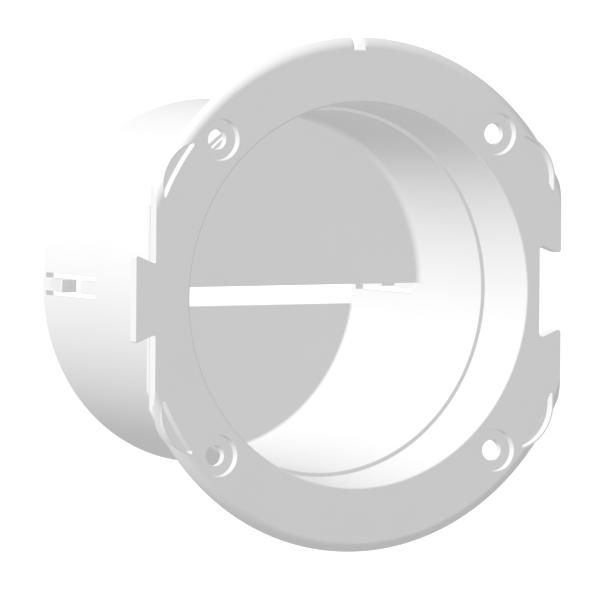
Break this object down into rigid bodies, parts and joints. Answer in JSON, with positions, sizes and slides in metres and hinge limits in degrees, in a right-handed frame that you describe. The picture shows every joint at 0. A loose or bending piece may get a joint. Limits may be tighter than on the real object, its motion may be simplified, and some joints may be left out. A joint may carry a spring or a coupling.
{
  "type": "ventilation hose connector",
  "caption": "Flanged plastic connector that joins a 100 mm ventilation hose to a panel, with counterbored screw holes, dovetail edges, snap tongues and baffle plates in its bore.",
  "frame": {"origin": "on the bore axis, in the plane of the flange's front face", "axes": "+Y along the bore towards the hose spigot's end, +Z towards the notch that marks the top, +X towards the dovetail slot"},
  "size_m": [0.134, 0.0893, 0.1418],
  "materials": {
    "white_plastic": "smooth satin, moulded"
  },
  "bodies": {
    "root": {"hose_connector": "white_plastic"}
  },
  "joints": []
}
